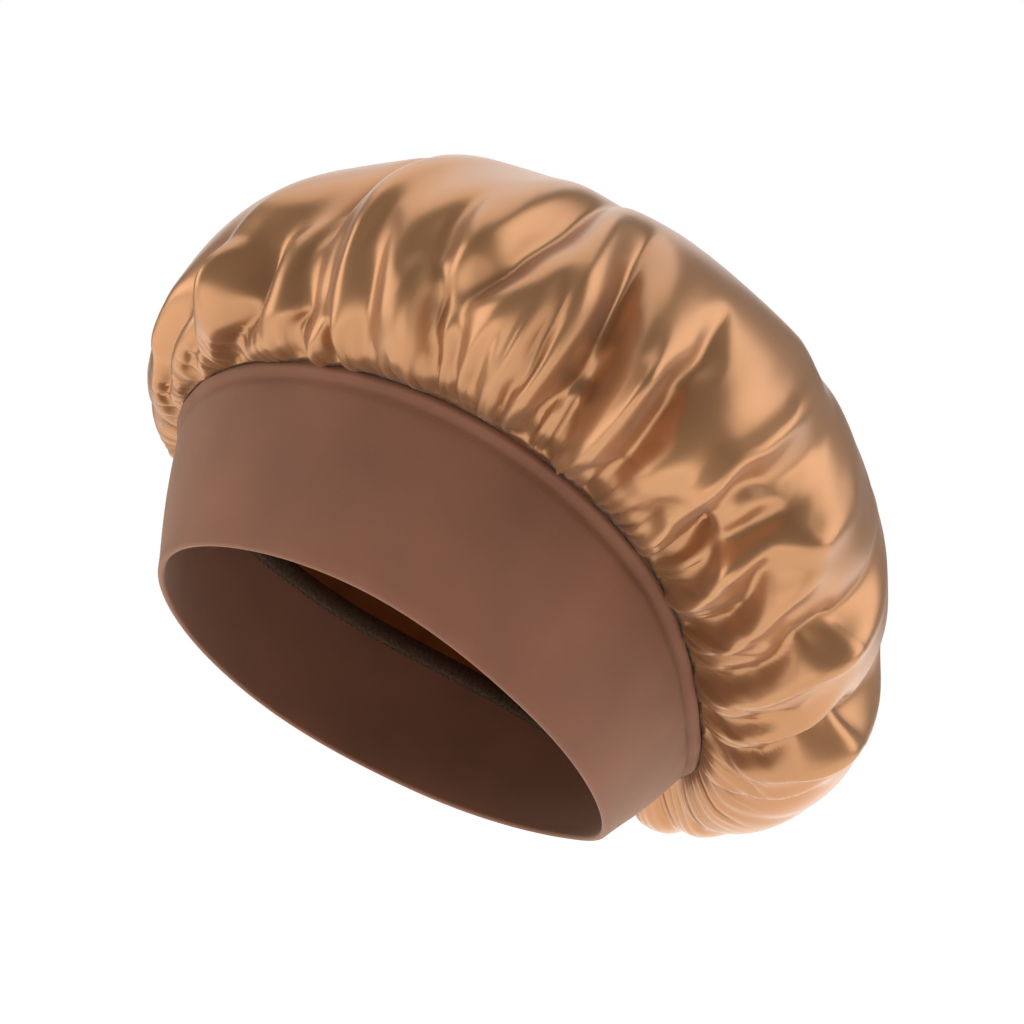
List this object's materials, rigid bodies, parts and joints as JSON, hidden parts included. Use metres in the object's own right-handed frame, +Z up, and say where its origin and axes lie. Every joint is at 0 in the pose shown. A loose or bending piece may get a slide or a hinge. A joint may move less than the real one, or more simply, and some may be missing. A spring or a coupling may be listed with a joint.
{
  "type": "sleep bonnet",
  "caption": "Satin sleep bonnet with a gathered puffed crown sewn to a wide stretch headband, held in the form it has when worn.",
  "frame": {"origin": "centre of the opening at the foot of the band, where the bonnet sits on the head", "axes": "+Z up with the bonnet worn, the wearer faces -Y, +X is the wearer's left; the bonnet's own axis leans back 35.5 degrees from +Z towards +Y"},
  "size_m": [0.2991, 0.2708, 0.24],
  "materials": {
    "satin": "glossy champagne bronze satin",
    "stretch_satin": "matte mocha brown stretch satin with a soft nap",
    "overlock": "matte dark brown overlock thread over the raw edges"
  },
  "bodies": {
    "root": {"crown": "satin", "band": "stretch_satin", "seam_allowance": "overlock"}
  },
  "joints": []
}
